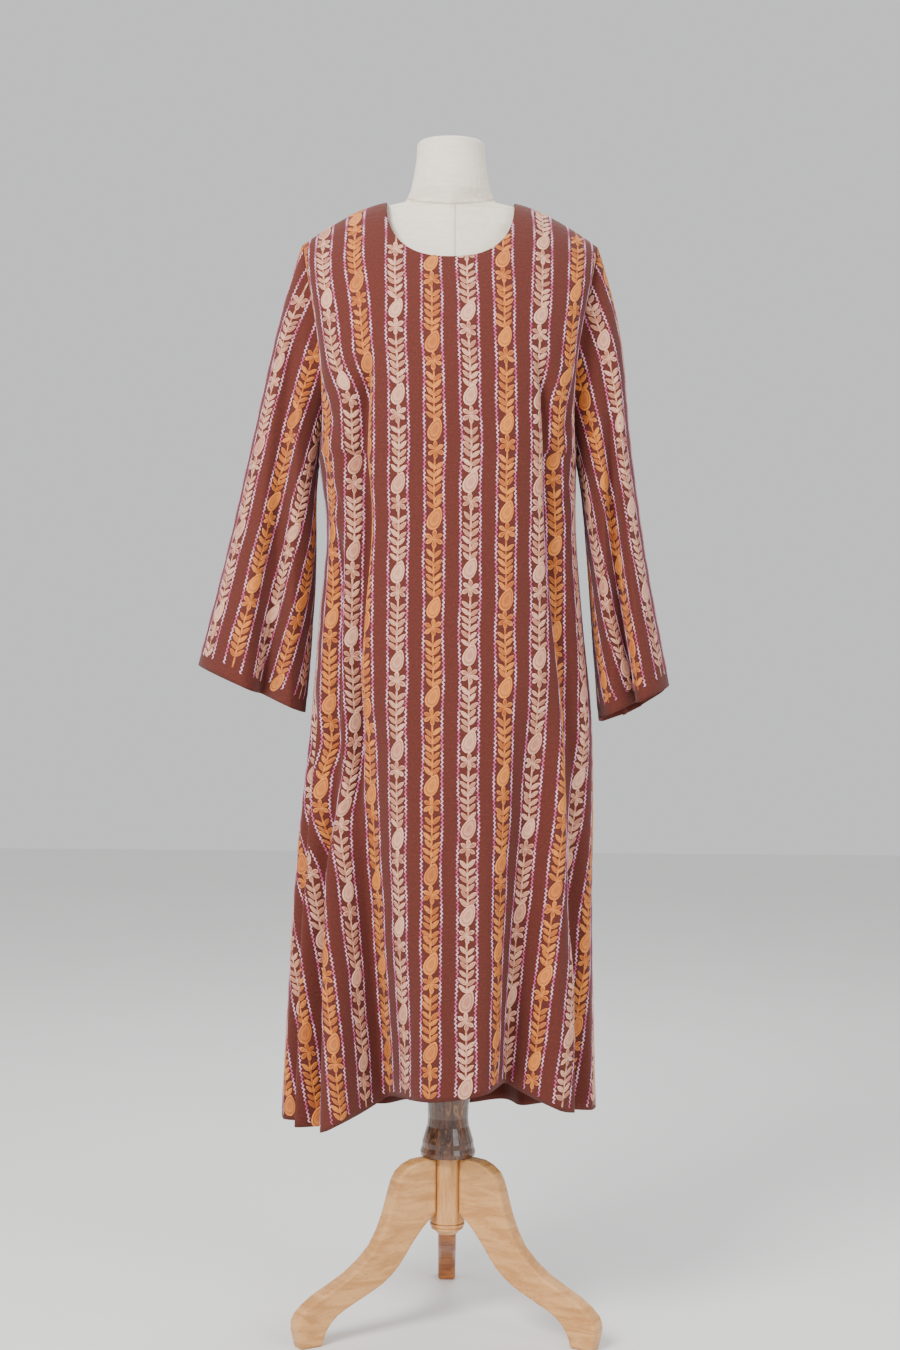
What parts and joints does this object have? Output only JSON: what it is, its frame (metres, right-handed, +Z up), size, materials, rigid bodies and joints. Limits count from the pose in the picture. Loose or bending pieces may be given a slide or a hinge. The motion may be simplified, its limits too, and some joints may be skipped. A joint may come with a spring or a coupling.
{
  "type": "embroidered abaya on a dress form",
  "caption": "Long straight cotton abaya with embroidered vine stripes and bell sleeves, hanging open on a limbless dress form with a turned wooden tripod.",
  "frame": {"origin": "on the floor under the middle of the whole, cuff to cuff and front leg to back leg", "axes": "+Z up, the garment's front faces -Y, +X to the right of a viewer in front"},
  "size_m": [0.663, 0.3955, 1.665],
  "materials": {
    "embroidered_cotton": "matte plain weave",
    "linen_cover": "matte linen",
    "light_wood": "satin varnish",
    "gloss_wrap": "glossy brown wrap",
    "post": "brushed"
  },
  "bodies": {
    "root": {"front": "embroidered_cotton", "back": "embroidered_cotton", "sleeve_left": "embroidered_cotton", "sleeve_right": "embroidered_cotton", "form_torso": "linen_cover", "pole": "post", "collar": "gloss_wrap", "hub": "light_wood", "hub_ring": "light_wood", "leg_left": "light_wood", "leg_right": "light_wood", "leg_back": "light_wood"}
  },
  "joints": []
}
